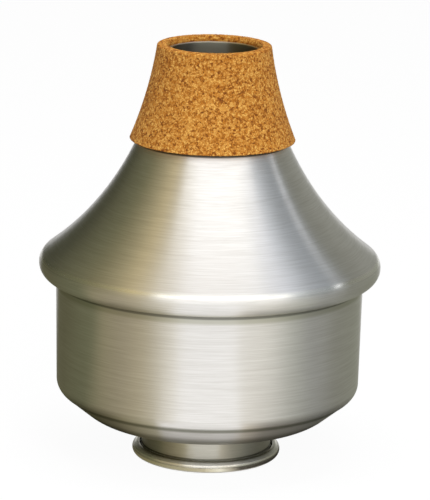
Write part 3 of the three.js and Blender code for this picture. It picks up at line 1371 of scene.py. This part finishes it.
@dataclass
class Studio:
    """Floor, surroundings, lamps, cards and camera.

    Attributes:
        camera_distance: In front of the axis.
        camera_height: Above the floor.
        camera_side: To the right of the axis.
        camera_pitch: How far it looks down.
        camera_roll: How far it leans.
        lens: Its focal length in millimetres.
        floor_size: The floor's side.
        floor_tone: The floor's own colour, as sRGB hex.
        floor_seen: How much of it is plain white instead where it is seen.
        mirror_ring: Distances from the axis between which it turns white in reflections.
        mirror_share: How white it gets there.
        cup_ring: Distances between which it turns white towards the axis, which lights the cup's hollow.
        cup_share: How white it gets there.
        ambient_tone: Colour of the even light, as sRGB hex.
        ambient: Strength of the even light.
        lamp_aim: Height of the point that the lamps face.
        lamps: The lamps, which no reflection shows.
    """

    camera_distance: float = 1.0
    camera_height: float = 0.3146
    camera_side: float = 0.0015
    camera_pitch: float = math.radians(14.02)
    camera_roll: float = math.radians(1.27)
    lens: float = 241.4
    floor_size: float = 6.0
    floor_tone: str = "F0F0F0"
    floor_seen: float = 0.95
    mirror_ring: tuple[float, float] = (0.04, 0.14)
    mirror_share: float = 0.9
    cup_ring: tuple[float, float] = (0.0205, 0.0190)
    cup_share: float = 0.45
    ambient_tone: str = "F2F2F2"
    ambient: float = 0.55
    lamp_aim: float = 0.065
    lamps: tuple[Lamp, ...] = (
        Lamp("overhead_softbox", (0.03, -0.10, 0.80), 0.40, 0.50, 4.0),
        Lamp("front_softbox", (0.35, -1.00, 0.75), 0.50, 0.60, 9.0),
        Lamp("left_softbox", (-0.95, -0.75, 0.80), 0.50, 0.50, 3.0),
    )

    def build(self) -> None:
        """Makes the floor, the light and the camera."""
        self._floor()
        self._world()
        self._lamps()
        Tent().build()
        self._camera()

    def _floor(self) -> None:
        """Makes the white floor.

        It keeps a soft shadow under the mute. Metal shows it white away from the mute and under the cup,
        and it is clear from below.
        """
        half = self.floor_size / 2
        corners = [(-half, -half, 0), (half, -half, 0), (half, half, 0), (-half, half, 0)]
        mesh = bpy.data.meshes.new("studio_floor")
        mesh.from_pydata(corners, [], [(0, 1, 2, 3)])
        material, add = new_material("white_table")
        mesh.materials.append(material)
        rays = add("ShaderNodeLightPath").outputs
        spot = add("ShaderNodeTexCoord").outputs["Object"]
        away = add("ShaderNodeVectorMath", {0: spot}, operation="LENGTH")
        rings = ((self.mirror_ring, self.mirror_share), (self.cup_ring, self.cup_share))
        around, under_cup = (
            add(
                "ShaderNodeMapRange",
                {"Value": away, "From Min": start, "From Max": end, "To Min": 0.0, "To Max": share},
            )
            for (start, end), share in rings
        )
        mirrored = add("ShaderNodeMath", {0: around, 1: under_cup}, operation="MAXIMUM")
        mirrored = add("ShaderNodeMath", {0: rays["Is Glossy Ray"], 1: mirrored}, operation="MULTIPLY")
        looks = {0: rays["Is Camera Ray"], 1: rays["Is Transmission Ray"]}
        seen = add("ShaderNodeMath", looks, operation="MAXIMUM")
        seen = add("ShaderNodeMath", {0: seen, 1: self.floor_seen}, operation="MULTIPLY")
        white_share = add("ShaderNodeMath", {0: seen, 1: mirrored}, operation="MAXIMUM")
        paint = add("ShaderNodeBsdfDiffuse", {"Color": linear(self.floor_tone)})
        white = add("ShaderNodeEmission", {"Color": linear("FFFFFF"), "Strength": 1.0})
        top = add("ShaderNodeMixShader", {0: white_share, 1: paint, 2: white})
        below = add("ShaderNodeNewGeometry").outputs["Backfacing"]
        clear = add("ShaderNodeBsdfTransparent")
        surface = add("ShaderNodeMixShader", {0: below, 1: top, 2: clear})
        add("ShaderNodeOutputMaterial", {"Surface": surface})
        linked("studio_floor", mesh)

    def _world(self) -> None:
        """Makes the surroundings: white where they are seen, and an even pale light otherwise."""
        world = bpy.data.worlds.new("studio")
        bpy.context.scene.world = world
        add = emptied(world)
        rays = add("ShaderNodeLightPath").outputs
        looks = {0: rays["Is Camera Ray"], 1: rays["Is Glossy Ray"]}
        seen = add("ShaderNodeMath", looks, operation="MAXIMUM")
        seen = add("ShaderNodeMath", {0: seen, 1: rays["Is Transmission Ray"]}, operation="MAXIMUM")
        pale = {"Color": linear(self.ambient_tone), "Strength": self.ambient}
        even = add("ShaderNodeBackground", pale)
        white = add("ShaderNodeBackground", {"Color": linear("FFFFFF"), "Strength": 1.0})
        surface = add("ShaderNodeMixShader", {0: seen, 1: even, 2: white})
        add("ShaderNodeOutputWorld", {"Surface": surface})

    def _lamps(self) -> None:
        """Hangs the lamps round the mute, out of sight of its reflections."""
        aim = Vector((0, 0, self.lamp_aim))
        for lamp in self.lamps:
            light = bpy.data.lights.new(lamp.name, "AREA")
            light.shape = "RECTANGLE"
            light.size = lamp.width
            light.size_y = lamp.depth
            light.energy = lamp.watts
            holder = linked(lamp.name, light)
            holder.location = lamp.where
            holder.rotation_euler = (aim - Vector(lamp.where)).to_track_quat("-Z", "Y").to_euler()
            holder.visible_glossy = False

    def _camera(self) -> None:
        """Sets the camera where the photograph was taken from."""
        data = bpy.data.cameras.new("camera")
        data.lens = self.lens
        camera = linked("camera", data)
        camera.location = (self.camera_side, -self.camera_distance, self.camera_height)
        look = Euler((RIGHT_ANGLE - self.camera_pitch, 0, 0)).to_matrix()
        roll = Euler((0, 0, self.camera_roll)).to_matrix()
        camera.rotation_euler = (look @ roll).to_euler()
        bpy.context.scene.camera = camera


# The shells' sheet is brushed with a fine cloth: a soft grey sheen, with rings of painted shade in its
# seams and hollows.
BODY_METAL = SpunAluminium(
    name="spun_aluminium",
    pale="ECEAE7",
    deep="DAD7D2",
    # Painted shade inside the shells and the neck's bore.
    inside_shade="ACA898",
    roughness=0.36,
    roughness_swing=0.03,
    anisotropy=0.95,
    groove_depth=0.0000012,
    bands=(
        Band(0.0630, 0.0636, 0.0005, "E8E6DE", 0.75),  # Burnished upper side of the bead.
        Band(0.0545, 0.0570, 0.0012, "C8C6BA", 1.0),  # Painted shade where the drum meets the bead, under its roll.
        Band(0.0556, 0.0568, 0.0004, "94938A", 1.2),  # Painted shade in the seam under the bead.
        Band(0.0200, 0.0205, 0.0011, "9C9B90", 1.0),  # Painted shade along the crease under the drum's corner.
        Band(0.0086, 0.0145, 0.0030, "9A988F", 1.0),  # Painted shade on the dish round the cup.
        Band(0.0992, 0.1010, 0.0005, "6A665C", 1.2),  # Painted shadow at the cork's foot.
    ),
)
# The stem is spun the same way, but handled and rubbed in its socket: a little smoother and warmer.
STEM_METAL = SpunAluminium(
    name="stem_aluminium",
    pale="E6E3D8",
    deep="D8D5C8",
    # Painted shade inside the cup's hollow and the tube's bore.
    inside_shade="8A8A80",
    roughness=0.30,
    roughness_swing=0.02,
    anisotropy=0.9,
    groove_depth=0.000001,
    bands=(
        Band(0.0000, 0.0024, 0.0006, "ECE9DE", 0.7),  # Burnished lower part of the rim.
        Band(0.0027, 0.0032, 0.0002, "F4F2EA", 1.8),  # Painted highlight on the top of the rim's roll, which is rougher too.
        Band(0.0035, 0.0038, 0.00012, "A19E8E", 1.0),  # Painted shade where the roll meets the wall.
    ),
)
# The bush is cut from bar: its tool marks are closer and deeper, and its sheen is dull.
TURNED_METAL = SpunAluminium(
    name="turned_aluminium",
    pale="D6D5D1",
    deep="BDBCB7",
    # Painted shade inside the bush's bore.
    inside_shade="9C9C97",
    roughness=0.42,
    roughness_swing=0.05,
    anisotropy=0.7,
    groove_depth=0.000003,
    line_spacing=0.00022,
)


def main() -> None:
    """Builds the mute and the studio."""
    logging.basicConfig(level=logging.INFO, format="%(name)s: %(message)s")
    bpy.context.scene.view_settings.view_transform = "Standard"
    relief = Relief(grain=0.0008, depth=0.00009, fine_grain=0.00045, fine_depth=0.00007)
    cork = AgglomeratedCork(
        "agglomerated_cork", relief, dark="6C3809", middle="A5671C", light="CB9A4C", seam="402208"
    )
    rubber = MouldedRubber("nitrile_rubber", black="141414", bloom="2A2A29")
    lathe = Lathe()
    stem = Stem()
    socket = Socket(stem)
    shells = Shells(socket)
    stem.build(lathe, STEM_METAL.material())
    socket.build(lathe, TURNED_METAL.material(), rubber.material())
    shells.build(lathe, BODY_METAL.material())
    CorkCollar(shells, relief).build(lathe, cork.material())
    Studio().build()


if __name__ == "__main__":
    main()
